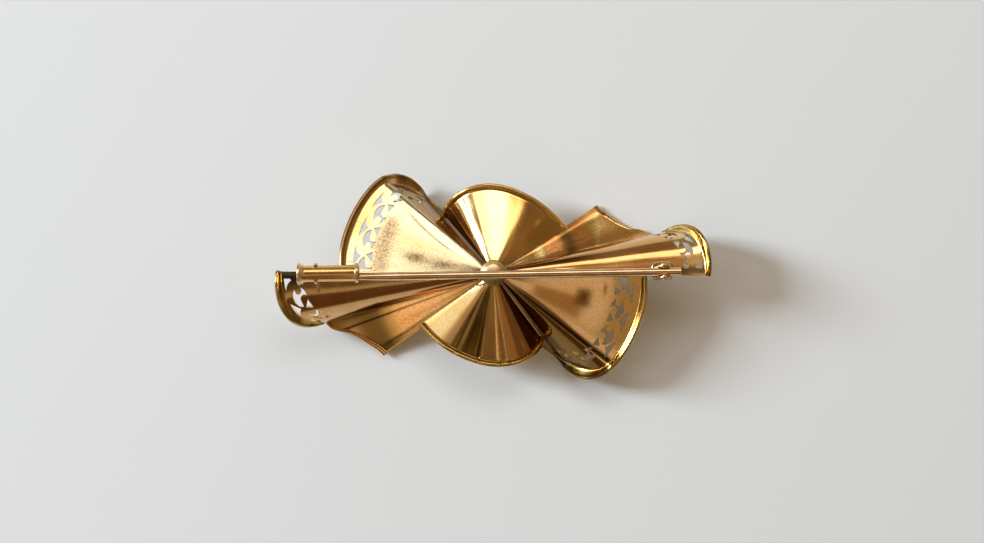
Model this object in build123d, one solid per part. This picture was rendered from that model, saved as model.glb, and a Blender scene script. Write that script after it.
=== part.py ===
from build123d import *
import math
import os
from collections import namedtuple

# Bow brooch, lying face down. Millimetres, +Z up, origin on the surface under the middle of the bow.
# +X runs along the pin towards its hinge, +Y towards the top fan.

# Ribbon sheet
ridge_height = 9.5
sheet = 0.5
sheet_at_root = 0.22
lip_rise = 55
bow_turn = -0.8

# Reach of each ribbon, from the centre to the edge where its lip starts
wide_reach = 20.25
long_reach = 28.9
fan_reach = 11.9
right_tail_reach = 23.2
left_tail_reach = 24.36

# Lip of each ribbon, measured along the lip
wide_lip = 1.25
long_lip = 1.4
fan_lip = 0.75
right_tail_lip = 1.2
left_tail_lip = 0.6

# Centre rivet, which holds the ribbons between its back boss and the front knot
post_radius = 1.1
ribbon_clearance = 0.25
ribbon_start = post_radius + ribbon_clearance
boss_radius = 1.5
boss_clearance = 0.12
boss_thickness = 0.75
boss_crown = 0.3
knot_radius = 3.6
knot_bottom = 0.5
knot_middle = 3.2
knot_top = 5.6

# Pierced scroll, repeated along the band; a band's end is a share of its length
scroll_pitch = 3.95
ring_half_length = 1.42
ring_half_width = 0.95
ring_tilt = 5
near_bud_radius = 0.42
far_bud_radius = 0.55
wide_band_inset = 2.7
long_band_inset = 2.05
wide_band_start = 1.0
wide_band_end = 0.93
long_band_start = 3.2
long_band_end = 0.85
ridge_margin = 0.6
cutter_depth = 1.4

# Pin, which turns on a rivet between two ears
pin_radius = 0.565
pin_side = -0.42
pin_rise = 2.05
pivot_inset = 5.85
pin_tail = 2.2
pin_end_chamfer = 0.08
pin_mouth_radius = 0.4
pin_shoulder = 4.0
pin_tip_radius = 0.15
pin_tip_length = 3.2
rivet_radius = 0.3
rivet_clearance = 0.03
rivet_head_radius = 0.48
rivet_head = 0.15
rivet_head_clearance = 0.02
ear = 0.32
ear_clearance = 0.04
ear_width = 2.4
ear_crown = 0.85
hinge_plate = 0.45
hinge_plate_length = 3.2
hinge_plate_flange = 0.9

# Sliding tube catch, set to one side of the pin so that the springy pin bears on its bore
bore_radius = 0.98
bearing_gap = 0.04
tube_wall = 0.15
mouth_inset = 10.8
tube_length = 7.25
tube_floor = 0.8
mouth_ring_wall = 0.37
mouth_ring = 0.45
knob_flare = 0.37
knob_length = 1.0
knob_rim = 0.4
saddle_inset = 5.05
saddle_width = 0.45
saddle_wall = 0.27
saddle_clearance = 0.05
saddle_opening = 100
saddle_foot_width = 0.8
saddle_foot_out = 2.2
saddle_foot_slope = 6
solder_depth = 0.28

# Places that follow from the sizes above
pin_height = ridge_height + pin_rise
pivot_x = long_reach - pivot_inset
mouth_x = mouth_inset - long_reach
saddle_x = saddle_inset - long_reach
tube_radius = bore_radius + tube_wall
tube_offset = bore_radius - bearing_gap - pin_mouth_radius

# One row per generator of a ribbon: where it ends at the rim and where it starts at the centre.
# turn is degrees from the ridge line, reach and lip are shares of the ribbon's own reach and lip,
# height is a share of the ridge height, and root is a share of the ribbon's start radius.
Row = namedtuple("Row", "turn reach height root_turn root root_height lip")

WIDE_ROWS = [
    Row(180.0, 0.995, 0.943, 180.0, 1.00, 1.000, 0.60),
    Row(171.0, 1.000, 0.872, 171.0, 1.00, 1.000, 1.00),
    Row(161.0, 1.000, 0.798, 161.0, 1.00, 1.000, 1.10),
    Row(151.0, 0.998, 0.729, 152.0, 1.00, 0.995, 1.15),
    Row(144.3, 0.992, 0.682, 147.0, 1.00, 0.990, 1.25),
    Row(139.5, 0.967, 0.605, 143.0, 1.00, 0.980, 1.30),
]
WALL_ROWS = [
    Row(136.0, 0.921, 0.470, 140.0, 1.05, 0.965, 1.35),
    Row(133.3, 0.856, 0.345, 137.5, 1.10, 0.945, 1.25),
    Row(131.0, 0.780, 0.205, 135.0, 1.15, 0.915, 0.95),
    Row(129.5, 0.709, 0.037, 133.0, 1.20, 0.880, 0.40),
]
VALLEY_ROWS = [
    Row(127.4, 0.628, 0.060, 130.0, 1.35, 0.840, 0.12),
    Row(125.0, 0.572, 0.085, 127.0, 1.45, 0.800, 0.12),
    Row(122.5, 0.557, 0.110, 124.0, 1.50, 0.770, 0.12),
]
LONG_ROWS = [
    Row(0.0, 1.000, 0.920, 0.0, 1.00, 1.000, 0.55),
    Row(3.8, 0.997, 0.908, 5.0, 1.00, 1.000, 0.75),
    Row(7.8, 0.983, 0.862, 10.0, 1.05, 0.995, 0.90),
    Row(10.6, 0.962, 0.780, 14.5, 1.20, 0.985, 0.95),
    Row(12.6, 0.931, 0.650, 18.5, 1.35, 0.965, 0.90),
    Row(13.8, 0.900, 0.505, 22.0, 1.45, 0.940, 0.75),
    Row(14.5, 0.872, 0.365, 25.5, 1.55, 0.905, 0.50),
    Row(14.8, 0.844, 0.230, 29.0, 1.65, 0.865, 0.25),
]
FAN_ROWS = [
    Row(33.4, 0.970, 0.460, 36.0, 1.00, 0.930, 1.00),
    Row(46.0, 0.955, 0.525, 47.0, 1.00, 0.945, 1.00),
    Row(60.0, 0.955, 0.610, 60.0, 1.00, 0.960, 1.00),
    Row(73.0, 0.965, 0.668, 73.0, 1.00, 0.970, 1.00),
    Row(83.0, 0.985, 0.698, 83.0, 1.00, 0.970, 1.00),
    Row(94.0, 1.000, 0.700, 94.0, 1.00, 0.970, 1.00),
    Row(106.0, 1.000, 0.645, 106.0, 1.00, 0.960, 1.00),
    Row(117.5, 0.970, 0.520, 116.0, 1.00, 0.950, 1.00),
    Row(124.5, 0.920, 0.410, 122.0, 1.00, 0.940, 1.00),
    Row(127.8, 0.880, 0.330, 125.5, 1.00, 0.930, 0.90),
]
TAIL_ROWS = [
    Row(35.2, 0.745, 0.105, 32.0, 1.00, 0.690, 1.00),
    Row(31.8, 0.755, 0.092, 30.0, 1.00, 0.690, 1.00),
    Row(27.3, 0.787, 0.080, 27.0, 1.00, 0.690, 1.00),
    Row(23.3, 0.825, 0.070, 24.0, 1.00, 0.690, 0.90),
    Row(20.3, 0.870, 0.064, 22.0, 1.00, 0.690, 0.75),
    Row(16.8, 0.967, 0.060, 20.0, 1.00, 0.690, 0.45),
    Row(14.0, 1.000, 0.060, 18.0, 1.00, 0.690, 0.25),
]


# Ribbon surfaces
def rim_point(row, reach):
    turn = math.radians(row.turn)
    out = row.reach * reach
    return Vector(out * math.cos(turn), out * math.sin(turn), row.height * ridge_height)


def root_point(row):
    turn = math.radians(row.root_turn)
    out = row.root * ribbon_start
    return Vector(out * math.cos(turn), out * math.sin(turn), row.root_height * ridge_height)


def upward(vector):
    return vector if vector.Z > 0 else -vector


def generator_frame(rows, index, reach):
    """The direction of a generator and the sheet's normal there."""
    along = (rim_point(rows[index], reach) - root_point(rows[index])).normalized()
    if rows[index].turn in (0.0, 180.0):
        across = Vector(0, 1, 0)
    else:
        before = rows[max(index - 1, 0)]
        after = rows[min(index + 1, len(rows) - 1)]
        across = rim_point(after, reach) - rim_point(before, reach)
    return along, upward(along.cross(across).normalized())


def ribbon_section(rows, index, reach, lip):
    """Closed outline of the sheet and its raised lip, in the plane of one generator."""
    along, normal = generator_frame(rows, index, reach)
    rise = math.radians(lip_rise)
    lip_along = along * math.cos(rise) + normal * math.sin(rise)
    lip_normal = along * math.sin(rise) - normal * math.cos(rise)
    root = root_point(rows[index])
    rim = rim_point(rows[index], reach)
    lip_end = rim + lip_along * (lip * rows[index].lip)
    corner = rim - normal * sheet + along * (sheet * math.tan(rise / 2))
    outline = [
        root,
        rim,
        lip_end,
        lip_end + lip_normal * sheet,
        corner,
        root - normal * sheet_at_root,
    ]
    return Face(Wire.make_polygon(outline, close=True))


def ribbon(rows, reach, lip, folds=()):
    """The whole sheet, lofted in one run between each fold row and the next."""
    sections = [ribbon_section(rows, index, reach, lip) for index in range(len(rows))]
    ends = [0, *folds, len(rows) - 1]
    runs = [loft(sections[first:last + 1]) for first, last in zip(ends, ends[1:])]
    return runs[0].fuse(*runs[1:]) if len(runs) > 1 else runs[0]


# Pierced scroll band
def band_path(rows, reach, inset):
    """Points along the middle of the pierced band, with the sheet's frame at each."""
    path = []
    for index in range(len(rows)):
        along, normal = generator_frame(rows, index, reach)
        path.append((rim_point(rows[index], reach) - along * inset, along, normal))
    return path


def band_place(path, distance):
    """The work plane at a distance along the band: x runs along it, y points to the rim."""
    spline = Spline(*[point for point, along, normal in path])
    share = distance / spline.length
    origin = spline @ share
    tangent = spline % share
    spans = [(point - origin).length for point, along, normal in path]
    nearest = sorted(range(len(path)), key=lambda index: spans[index])[:2]
    weights = [1 / (spans[index] + 0.01) for index in nearest]
    normal = path[nearest[0]][2] * weights[0] + path[nearest[1]][2] * weights[1]
    rimward = path[nearest[0]][1]
    if normal.cross(tangent).dot(rimward) < 0:
        tangent = -tangent
    return Plane(origin=origin, x_dir=tangent, z_dir=normal.normalized())


def ring_opening():
    """The round opening of one scroll, with a bud growing into it from either end."""
    oval = Ellipse(ring_half_length, ring_half_width, rotation=ring_tilt)
    near_bud = SlotCenterToCenter(ring_half_length, 2 * near_bud_radius)
    far_bud = SlotCenterToCenter(ring_half_length, 2 * far_bud_radius)
    near_x = -0.60 * ring_half_length - ring_half_length / 2
    far_x = 0.25 * ring_half_length + ring_half_length / 2
    return oval - Pos(near_x, -0.05 * ring_half_width) * near_bud - Pos(far_x, -0.53 * ring_half_width) * far_bud


def leaf_opening():
    """The leaf between two scrolls and the rim."""
    near_tip = (0.0, 1.62 * ring_half_width)
    crown = (0.40 * scroll_pitch, 1.78 * ring_half_width)
    far_tip = (0.82 * scroll_pitch, 1.50 * ring_half_width)
    far_side = (0.50 * scroll_pitch, 1.27 * ring_half_width)
    foot = (0.38 * scroll_pitch, 0.74 * ring_half_width)
    near_side = (0.20 * scroll_pitch, 1.18 * ring_half_width)
    outline = [
        ThreePointArc(near_tip, crown, far_tip),
        ThreePointArc(far_tip, far_side, foot),
        ThreePointArc(foot, near_side, near_tip),
    ]
    return make_face(outline)


def spandrel_opening():
    """The small three-cornered opening between two scrolls on the inner side."""
    corners = [
        (-0.44 * scroll_pitch, -0.92 * ring_half_width),
        (-0.56 * scroll_pitch, 0.05 * ring_half_width),
        (-0.80 * scroll_pitch, -0.88 * ring_half_width),
    ]
    return make_face(Polyline(*corners, close=True))


def scroll_cutters(rows, reach, inset, first, last):
    """Every opening of one band, each cut square to the sheet."""
    path = band_path(rows, reach, inset)
    length = Spline(*[point for point, along, normal in path]).length
    cutters = []
    count = int((length - first) / scroll_pitch) + 1
    for number in range(-1, count):
        middle = first + number * scroll_pitch
        openings = []
        if number >= 0:
            openings.append((ring_opening(), 0.0))
            openings.append((spandrel_opening(), -0.6 * scroll_pitch))
        if middle + scroll_pitch < length:
            openings.append((leaf_opening(), 0.4 * scroll_pitch))
        for opening, offset in openings:
            centre = middle + offset
            if not 0 < centre < last * length:
                continue
            place = band_place(path, centre)
            shift = offset if place.x_dir.dot(band_direction(path, centre)) > 0 else -offset
            flat = mirrored(opening, place, path, centre)
            prism = extrude(flat, 2 * cutter_depth)
            cutters.append(place * (Pos(-shift, 0, -cutter_depth) * prism))
    return cutters


def band_direction(path, distance):
    spline = Spline(*[point for point, along, normal in path])
    return spline % (distance / spline.length)


def mirrored(opening, place, path, distance):
    """The scroll always runs away from the ridge, so on the other hand it is mirrored."""
    if place.x_dir.dot(band_direction(path, distance)) > 0:
        return opening
    return mirror(opening, about=Plane.YZ)


def pierced(body, rows, reach, inset, first, last):
    keep = Box(4 * reach, 2 * ridge_margin, 4 * ridge_height)
    cutters = [cutter - keep for cutter in scroll_cutters(rows, reach, inset, first, last)]
    return body.cut(*[solid for cutter in cutters for solid in cutter.solids()])


def half_turn(shape):
    return Rot(0, 0, 180) * shape


def wide_half():
    band_rows = WIDE_ROWS + WALL_ROWS
    folds = (len(WIDE_ROWS) - 1, len(band_rows) - 1)
    whole = ribbon(band_rows + VALLEY_ROWS, wide_reach, wide_lip, folds)
    return pierced(whole, band_rows, wide_reach, wide_band_inset, wide_band_start, wide_band_end)


def long_half():
    return pierced(ribbon(LONG_ROWS, long_reach, long_lip), LONG_ROWS, long_reach,
                   long_band_inset, long_band_start, long_band_end)


def bow(shape):
    return Rot(0, 0, bow_turn) * shape


# Findings on the back
def ridge_at(out):
    """Height of the ridge between the two halves of a loop, at a distance from the centre."""
    rim = LONG_ROWS[0].height * ridge_height
    share = (out - ribbon_start) / (long_reach - ribbon_start)
    return ridge_height + (rim - ridge_height) * share


def turned(profile, side, height):
    """A round piece that lies along X: its profile holds x and radius."""
    outline = Polyline(*[(x, radius) for x, radius in profile], close=True)
    solid = revolve(make_face(outline), axis=Axis.X)
    return Pos(0, side, height) * solid


def across(radius, low_side, high_side, x, height):
    """A round bar that lies along Y between two places."""
    middle = (low_side + high_side) / 2
    return Pos(x, middle, height) * Rot(90, 0, 0) * Cylinder(radius, high_side - low_side)


def pin_stem():
    tail_x = pivot_x + pin_tail
    profile = [
        (tail_x, 0),
        (tail_x, pin_radius - pin_end_chamfer),
        (tail_x - pin_end_chamfer, pin_radius),
        (mouth_x + pin_shoulder, pin_radius),
        (mouth_x, pin_mouth_radius),
        (mouth_x - pin_tip_length + pin_tip_radius, pin_tip_radius),
        (mouth_x - pin_tip_length, 0),
    ]
    eye = across(rivet_radius + rivet_clearance, pin_side - 2 * pin_radius,
                 pin_side + 2 * pin_radius, pivot_x, pin_height)
    return turned(profile, pin_side, pin_height) - eye


def ear_sides():
    """Inner and outer faces of both ears, from the low side to the high side."""
    inner = pin_radius + ear_clearance
    outer = inner + ear
    return [(pin_side - outer, pin_side - inner), (pin_side + inner, pin_side + outer)]


def hinge_bracket():
    seat = ridge_at(pivot_x) - solder_depth
    plate_top = seat + hinge_plate
    low_side = ear_sides()[0][0]
    high_side = ear_sides()[1][1] + hinge_plate_flange
    plate = Pos(pivot_x, (low_side + high_side) / 2, seat + hinge_plate / 2) * Box(
        hinge_plate_length, high_side - low_side, hinge_plate)
    bracket = plate
    for low, high in ear_sides():
        crown = across(ear_crown, low, high, pivot_x, pin_height)
        foot = Pos(pivot_x, (low + high) / 2, (plate_top + pin_height) / 2)
        neck = foot * Box(2 * ear_crown, high - low, pin_height - plate_top)
        wide = Pos(pivot_x, (low + high) / 2, plate_top + ear_crown / 2)
        bracket += crown + neck + wide * Box(ear_width, high - low, ear_crown)
    hole = across(rivet_radius + rivet_head_clearance, low_side - ear, high_side, pivot_x, pin_height)
    return bracket - hole


def hinge_rivet():
    low = ear_sides()[0][0] - rivet_head_clearance
    high = ear_sides()[1][1] + rivet_head_clearance
    shank = across(rivet_radius, low, high, pivot_x, pin_height)
    low_head = across(rivet_head_radius, low - rivet_head, low, pivot_x, pin_height)
    high_head = across(rivet_head_radius, high, high + rivet_head, pivot_x, pin_height)
    return shank + low_head + high_head


def catch_slide():
    end_x = mouth_x - tube_length
    knob_x = end_x - knob_length
    mouth_ring_radius = bore_radius + mouth_ring_wall
    knob_radius = tube_radius + knob_flare
    profile = [
        (mouth_x, bore_radius),
        (mouth_x, mouth_ring_radius),
        (mouth_x - mouth_ring, mouth_ring_radius),
        (mouth_x - mouth_ring, tube_radius),
        (end_x, tube_radius),
        (knob_x + knob_rim, knob_radius),
        (knob_x, knob_radius),
        (knob_x, 0),
        (end_x + tube_floor, 0),
        (end_x + tube_floor, bore_radius),
    ]
    return turned(profile, pin_side + tube_offset, pin_height)


def catch_saddle():
    """The open ring that the tube slides in, and its leg down to the ribbon."""
    side = pin_side + tube_offset
    inner = tube_radius + saddle_clearance
    outer = inner + saddle_wall
    half = math.radians(saddle_opening / 2)
    corner_out = 2 * outer * math.sin(half)
    corner_up = 2 * outer * math.cos(half)
    mouth = make_face(Polyline((0, 0), (corner_out, corner_up), (-corner_out, corner_up), close=True))
    ring = Circle(outer) - Circle(inner) - mouth
    top = -inner - saddle_wall / 2
    seat = ridge_at(-saddle_x) - solder_depth - pin_height
    foot_side = -side - saddle_foot_out
    foot_drop = saddle_foot_out * math.tan(math.radians(saddle_foot_slope))
    leg = make_face(Polyline(
        (-saddle_foot_width / 2, top),
        (saddle_foot_width / 2, top),
        (saddle_foot_width / 2, seat),
        (foot_side, seat - foot_drop),
        (foot_side, seat - foot_drop + solder_depth),
        close=True))
    place = Plane(origin=(saddle_x, side, pin_height), x_dir=(0, 1, 0), z_dir=(1, 0, 0))
    return place * extrude(ring + leg, saddle_width / 2, both=True)


def centre_rivet():
    seat = ridge_height + boss_clearance
    crown = seat + boss_thickness - boss_crown
    outline = [
        TangentArc((0, knot_bottom), (knot_radius, knot_middle), tangent=(1, 0)),
        Line((knot_radius, knot_middle), (post_radius, knot_top)),
        Line((post_radius, knot_top), (post_radius, seat)),
        Line((post_radius, seat), (boss_radius, seat)),
        Line((boss_radius, seat), (boss_radius, crown)),
        TangentArc((0, crown + boss_crown), (boss_radius, crown), tangent=(1, 0)),
        Line((0, crown + boss_crown), (0, knot_bottom)),
    ]
    return revolve(Plane.XZ * make_face(outline), axis=Axis.Z)


# Whole pieces
def left_loop():
    return bow(wide_half()) + bow(half_turn(long_half())) + catch_saddle()


def right_loop():
    return bow(half_turn(wide_half())) + bow(long_half()) + hinge_bracket()


def top_fan():
    return bow(ribbon(FAN_ROWS, fan_reach, fan_lip))


def bottom_fan():
    return half_turn(top_fan())


def right_tail():
    return bow(ribbon(TAIL_ROWS, right_tail_reach, right_tail_lip))


def left_tail():
    return half_turn(bow(ribbon(TAIL_ROWS, left_tail_reach, left_tail_lip)))


PIECES = [
    left_loop,
    right_loop,
    top_fan,
    bottom_fan,
    right_tail,
    left_tail,
    centre_rivet,
    hinge_rivet,
    pin_stem,
    catch_slide,
]

os.makedirs("parts", exist_ok=True)
for piece in PIECES:
    export_step(piece(), "parts/" + piece.__name__ + ".step")
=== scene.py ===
import bmesh
import bpy
import math
import numpy as np
from collections import namedtuple
from mathutils import Matrix, Vector, noise


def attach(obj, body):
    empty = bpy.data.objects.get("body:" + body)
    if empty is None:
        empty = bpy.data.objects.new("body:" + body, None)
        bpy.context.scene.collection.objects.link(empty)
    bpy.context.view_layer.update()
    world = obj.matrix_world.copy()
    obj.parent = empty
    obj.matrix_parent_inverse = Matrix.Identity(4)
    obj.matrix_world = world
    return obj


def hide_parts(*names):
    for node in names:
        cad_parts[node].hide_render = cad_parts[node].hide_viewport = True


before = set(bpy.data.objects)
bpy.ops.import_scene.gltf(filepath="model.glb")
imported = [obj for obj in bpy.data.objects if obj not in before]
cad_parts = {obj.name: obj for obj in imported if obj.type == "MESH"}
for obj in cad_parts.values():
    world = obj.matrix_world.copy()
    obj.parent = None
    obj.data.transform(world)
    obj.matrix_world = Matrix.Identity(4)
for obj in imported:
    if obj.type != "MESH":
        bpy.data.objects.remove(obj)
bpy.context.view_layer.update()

# Sizes below are in millimetres, as in the construction, and become metres when a mesh is made
MM = 0.001

# Ribbon sheet
ridge_height = 9.5
sheet = 0.5
sheet_at_root = 0.22
lip_rise = math.radians(55)
right_tail_lip_rise = math.radians(6)
bow_turn = math.radians(-0.8)
ribbon_start = 1.35

# Reach of each ribbon from the centre to its lip, and the height of its lip
wide_reach = 20.25
long_reach = 28.9
fan_reach = 11.9
right_tail_reach = 23.2
left_tail_reach = 24.36
wide_lip = 1.25
long_lip = 1.4
fan_lip = 0.75
right_tail_lip = 0.78
left_tail_lip = 0.6

# Pierced scroll; a band's end is a share of its length
scroll_pitch = 3.95
ring_half_length = 1.42
ring_half_width = 0.95
ring_tilt = math.radians(5)
near_bud_radius = 0.42
far_bud_radius = 0.55
wide_band_inset = 2.7
long_band_inset = 2.05
wide_band_start = 1.0
wide_band_end = 0.93
long_band_start = 3.6
long_band_end = 0.85
ridge_margin = 0.6
cutter_depth = 1.4

# Pin, from its flat end at the hinge to its point in the tube
pin_radius = 0.565
pin_side = -0.42
pin_height = 11.55
pivot_x = 23.05
pin_tail = 2.2
pin_shoulder = 4.0
pin_mouth_radius = 0.4
pin_tip_length = 3.2
pin_tip_radius = 0.15
pin_tip_ease = 0.15

# Tube catch, with a ring round its mouth and a pull knob on its closed end
tube_side = 0.12
mouth_x = -18.1
tube_length = 7.25
tube_radius = 1.13
tube_bore = 0.98
tube_floor = 0.8
mouth_bore = 1.1
ring_radius = 1.35
ring_length = 0.45
knob_length = 1.0
knob_radius = 1.5

# Saddle that carries the tube
saddle_x = -23.85
saddle_radius = 1.45
saddle_bore = 1.18
saddle_opening = math.radians(50)
saddle_leg = 0.4
fitting_plate = 0.45

# Hinge
hinge_seat = 8.61
hinge_half_length = 1.5
hinge_half_width = 1.28
hinge_plate_side = 0.03
hinge_squareness = 0.4
ear_crown = 0.85
ear_foot = 1.2
ear_thickness = 0.32
ear_offset = 0.765
rivet_half_length = 1.095
rivet_radius = 0.3
rivet_head_radius = 0.48
rivet_head_start = 0.945
rivet_head_end = 1.06

# Centre rivet: front knot, post and back boss
knot_bottom = 0.5
knot_middle = 3.2
knot_top = 5.6
knot_radius = 3.6
post_radius = 1.1
boss_seat = 9.62
boss_edge = 0.2
boss_thickness = 0.34
boss_radius = 1.76
dome_radius = 1.42
dome_height = 0.41

# Radius where the outline of a round piece meets its axis
on_axis = 0.001

# Camera, placed from the photograph
camera_focus = Vector((0.0, -0.42, 11.2))
camera_distance = 240.0
camera_tilt = math.radians(5)
camera_roll = math.radians(1)
sensor_width = 36.0
image_width = 984
focal_pixels = 1780
right_by_pixels = 1.25
down_by_pixels = 3.5

# Ribbon mesh
row_spacing = 0.22
generator_points = 70
bend_radius = 0.3
bend_steps = (0.2, 0.4, 0.6, 0.8, 1.0)
bead_proud = 0.05
bead_start = -25
bead_sweep = 230
bead_steps = 12
full_bead_lip = 0.5
least_bead = 0.35

# Fine beading of the fans' rims, and the slight waves of every sheet
milgrain_spacing = 0.07
milgrain_pitch = 0.36
milgrain_depth = 0.035
milgrain_sink = 0.01
wave_size = 4.5
wave_depth = 0.035

# One generator of a ribbon: turns in degrees, the rest as shares of the reach, the heights and the lip
Row = namedtuple("Row", "turn reach height root_turn root root_height lip")

WIDE_ROWS = [
    Row(180.0, 0.995, 0.943, 180.0, 1.00, 1.000, 0.60),
    Row(171.0, 1.000, 0.872, 171.0, 1.00, 1.000, 0.85),
    Row(161.0, 1.000, 0.798, 161.0, 1.00, 1.000, 0.84),
    Row(151.0, 0.998, 0.729, 152.0, 1.00, 0.995, 0.76),
    Row(147.5, 0.996, 0.705, 149.5, 1.00, 0.993, 0.73),
    Row(144.3, 0.992, 0.687, 147.0, 1.00, 0.990, 0.73),
    Row(142.0, 0.981, 0.668, 145.0, 1.00, 0.987, 0.76),
    Row(139.5, 0.967, 0.605, 143.0, 1.00, 0.980, 0.86),
]
# The left loop folds a little later than the right one
LEFT_WIDE_ROWS = WIDE_ROWS[:4] + [
    Row(147.5, 0.996, 0.703, 149.0, 1.00, 0.993, 0.73),
    Row(144.3, 0.992, 0.679, 146.2, 1.00, 0.990, 0.73),
    Row(141.5, 0.984, 0.657, 143.8, 1.00, 0.987, 0.76),
    Row(139.3, 0.972, 0.636, 142.2, 1.00, 0.984, 0.80),
    Row(137.8, 0.951, 0.575, 141.0, 1.00, 0.975, 0.90),
]
WALL_ROWS = [
    Row(136.0, 0.921, 0.470, 140.0, 1.05, 0.965, 1.15),
    Row(133.3, 0.856, 0.345, 137.5, 1.10, 0.945, 1.25),
    Row(131.0, 0.780, 0.205, 135.0, 1.15, 0.915, 0.95),
    Row(129.5, 0.709, 0.037, 133.0, 1.20, 0.880, 0.40),
]
VALLEY_ROWS = [
    Row(127.4, 0.628, 0.060, 130.0, 1.35, 0.840, 0.12),
    Row(125.0, 0.572, 0.085, 127.0, 1.45, 0.800, 0.12),
    Row(122.5, 0.557, 0.110, 124.0, 1.50, 0.770, 0.12),
]
LONG_ROWS = [
    Row(-0.8, 1.000, 0.912, -0.3, 14.0, 0.955, 0.48),
    Row(0.0, 1.000, 0.920, 0.0, 1.00, 1.000, 0.55),
    Row(3.8, 0.997, 0.908, 5.0, 1.00, 1.000, 0.75),
    Row(7.8, 0.983, 0.862, 10.0, 1.05, 0.995, 0.90),
    Row(10.6, 0.962, 0.780, 14.5, 1.20, 0.985, 0.95),
    Row(12.6, 0.931, 0.650, 18.5, 1.35, 0.965, 0.90),
    Row(13.8, 0.900, 0.505, 22.0, 1.45, 0.940, 0.75),
    Row(14.5, 0.872, 0.365, 25.5, 1.55, 0.905, 0.50),
    Row(14.8, 0.844, 0.230, 29.0, 1.65, 0.865, 0.25),
]
FAN_ROWS = [
    Row(33.4, 0.970, 0.460, 36.0, 1.00, 0.930, 1.00),
    Row(46.0, 0.955, 0.525, 47.0, 1.00, 0.945, 1.00),
    Row(60.0, 0.955, 0.610, 60.0, 1.00, 0.960, 1.00),
    Row(73.0, 0.965, 0.668, 73.0, 1.00, 0.970, 1.00),
    Row(83.0, 0.985, 0.698, 83.0, 1.00, 0.970, 1.00),
    Row(94.0, 1.000, 0.700, 94.0, 1.00, 0.970, 1.00),
    Row(106.0, 1.000, 0.645, 106.0, 1.00, 0.960, 1.00),
    Row(117.5, 0.970, 0.520, 116.0, 1.00, 0.950, 1.00),
    Row(124.5, 0.920, 0.410, 122.0, 1.00, 0.940, 1.00),
    Row(127.8, 0.880, 0.330, 125.5, 1.00, 0.930, 0.90),
]
TAIL_ROWS = [
    Row(35.2, 0.745, 0.105, 32.0, 1.00, 0.690, 1.00),
    Row(31.8, 0.755, 0.092, 30.0, 1.00, 0.690, 1.00),
    Row(27.3, 0.787, 0.080, 27.0, 1.00, 0.690, 1.00),
    Row(23.3, 0.825, 0.070, 24.0, 1.00, 0.690, 0.90),
    Row(20.3, 0.870, 0.064, 22.0, 1.00, 0.690, 0.75),
    Row(16.8, 0.967, 0.060, 20.0, 1.00, 0.690, 0.45),
    Row(14.0, 1.000, 0.060, 18.0, 1.00, 0.690, 0.25),
]


# Ribbon surfaces
def polar(turn, out, height):
    angle = math.radians(turn)
    return [out * math.cos(angle), out * math.sin(angle), height]


def unit(vectors):
    return vectors / np.linalg.norm(vectors, axis=-1, keepdims=True)


def smooth_rows(rows, reach, lip, spacing):
    """Evenly spaced generators on a smooth surface through the rows of a table."""
    table = []
    for row in rows:
        rim = polar(row.turn, row.reach * reach, row.height * ridge_height)
        root = polar(row.root_turn, row.root * ribbon_start, row.root_height * ridge_height)
        table.append(rim + root + [row.lip * lip, row.turn])
    table = np.array(table)
    steps = np.linalg.norm(np.diff(table[:, :3], axis=0), axis=1)
    places = np.concatenate([[0.0], np.cumsum(steps)])
    slopes = np.gradient(table, places, axis=0)
    at = np.linspace(0.0, places[-1], int(places[-1] / spacing) + 2)
    index = np.clip(np.searchsorted(places, at) - 1, 0, len(rows) - 2)
    span = (places[index + 1] - places[index])[:, None]
    share = (at - places[index])[:, None] / span
    rest = 1 - share
    start = (1 + 2 * share) * rest ** 2 * table[index] + share * rest ** 2 * span * slopes[index]
    end = share ** 2 * (3 - 2 * share) * table[index + 1] - share ** 2 * rest * span * slopes[index + 1]
    fine = start + end
    rim = fine[:, 0:3]
    root = fine[:, 3:6]
    along = unit(rim - root)
    normal = unit(np.cross(along, np.gradient(rim, axis=0)))
    normal = np.where(normal[:, 2:3] < 0, -normal, normal)
    return {"rim": rim, "root": root, "along": along, "normal": normal,
            "lip": fine[:, 6], "turn": fine[:, 7], "place": at}


def section(length, lip, bead, edge, lip_rise):
    """Closed outline of sheet, bend, lip and its rolled edge: distance along the generator and off it."""
    bend_used = bend_radius * math.tan(lip_rise / 2)
    bend_start = length - bend_used
    rise = np.array([math.cos(lip_rise), math.sin(lip_rise)])
    outward = np.array([math.sin(lip_rise), -math.cos(lip_rise)])
    points = [(bend_start * share, 0.0) for share in np.linspace(0.0, 1.0, generator_points)]
    bend_middle = np.array([bend_start, bend_radius])
    turns = [lip_rise * share for share in bend_steps]
    points += [tuple(bend_middle + bend_radius * np.array([math.sin(a), -math.cos(a)])) for a in turns]
    rim = np.array([length, 0.0])
    straight = max(lip - bead, 0.0)
    flat = max(straight - bend_used - 0.1, 0.01)
    for share in (0.25, 0.5, 0.75):
        points.append(tuple(rim + rise * (bend_used + share * flat)))
    bead_middle = rim + rise * straight + outward * (edge / 2)
    for step in range(bead_steps + 1):
        angle = math.radians(bead_start + step * bead_sweep / bead_steps)
        points.append(tuple(bead_middle + bead * (rise * math.sin(angle) - outward * math.cos(angle))))
    for share in (0.66, 0.33):
        points.append(tuple(rim + rise * (straight * share) + outward * edge))
    outer = bend_radius + edge
    points += [tuple(bend_middle + outer * np.array([math.sin(a), -math.cos(a)])) for a in turns[::-1]]
    for share in np.linspace(1.0, 0.0, generator_points // 2):
        points.append((bend_start * share, -(sheet_at_root + (edge - sheet_at_root) * share)))
    return np.array(points)


def wave(point):
    return wave_depth * noise.noise(Vector(point) / wave_size)


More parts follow.
